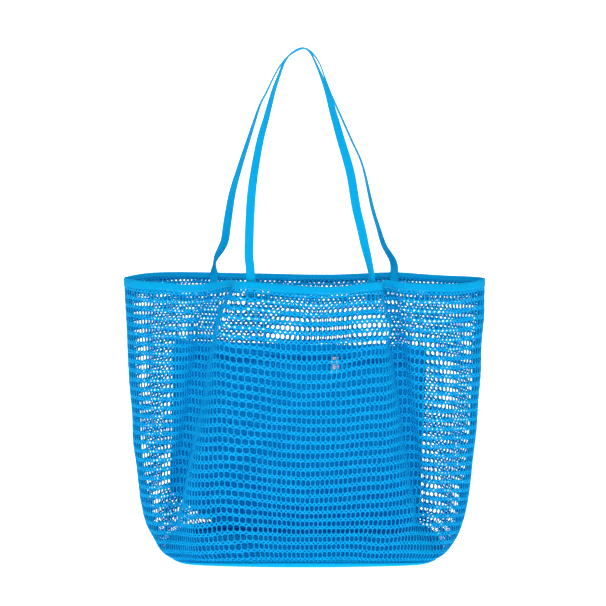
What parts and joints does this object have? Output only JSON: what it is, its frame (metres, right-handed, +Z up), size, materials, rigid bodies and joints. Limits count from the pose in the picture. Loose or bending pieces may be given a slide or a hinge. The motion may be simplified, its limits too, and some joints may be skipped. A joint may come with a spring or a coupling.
{
  "type": "beach bag",
  "caption": "soft see-through net tote on a flat cloth base, with a bound rim, gathered front folds, long webbing shoulder straps and a zipped inner pocket",
  "frame": {"origin": "middle of the flat base's underside, centred on the bag's width and depth", "axes": "+Z up through the mouth and the straps, -Y is the front with the two deep folds, +X is to the right as seen from the front"},
  "size_m": [0.4611, 0.1453, 0.6456],
  "materials": {
    "net": "open warp-knit polyester net, matt with a slight sheen",
    "base_cloth": "closely woven polyester",
    "binding_tape": "woven tape with an even rib",
    "strap_webbing": "flat woven webbing",
    "pocket_cloth": "thin close-woven lining cloth",
    "zip_tape": "herringbone zip tape",
    "zip_coil": "moulded nylon coil",
    "zip_metal": "bright plated metal"
  },
  "bodies": {
    "bag": {"base_panel": "base_cloth", "front_net_panel": "net", "back_net_panel": "net", "base_seam_binding": "binding_tape", "side_seam_tape_left": "binding_tape", "side_seam_tape_right": "binding_tape", "rim_binding": "binding_tape", "front_handle_end_left": "strap_webbing", "front_handle_end_right": "strap_webbing", "back_handle_end_left": "strap_webbing", "back_handle_end_right": "strap_webbing", "pocket_back": "pocket_cloth", "pocket_front": "pocket_cloth", "pocket_top_strip": "pocket_cloth", "pocket_edge_binding": "binding_tape", "zip_tape_lower": "zip_tape", "zip_tape_upper": "zip_tape", "zip_coil_lower": "zip_coil", "zip_coil_upper": "zip_coil", "zip_stop_left": "zip_metal", "zip_stop_right": "zip_metal"},
    "front_strap": {"front_handle": "strap_webbing"},
    "back_strap": {"back_handle": "strap_webbing"},
    "slider": {"zip_slider": "zip_metal"},
    "pull": {"zip_pull": "zip_metal"}
  },
  "joints": [
    {"name": "front_handle_swing", "type": "hinge", "parent": "bag", "child": "front_strap", "pos_m": [0.0075, -0.0586, 0.368], "axis": [1, 0, 0], "range_deg": [0, 135]},
    {"name": "back_handle_swing", "type": "hinge", "parent": "bag", "child": "back_strap", "pos_m": [0.001, 0.0582, 0.368], "axis": [-1, 0, 0], "range_deg": [0, 135]},
    {"name": "zip_slide", "type": "slide", "parent": "bag", "child": "slider", "axis": [0.9997, 0, -0.0262], "range_m": [-0.183, 0.091]},
    {"name": "zip_pull_swing", "type": "hinge", "parent": "slider", "child": "pull", "pos_m": [0.04043, 0.0359, 0.2448], "axis": [-0.9997, 0, 0.0262], "range_deg": [-4, 150]}
  ]
}
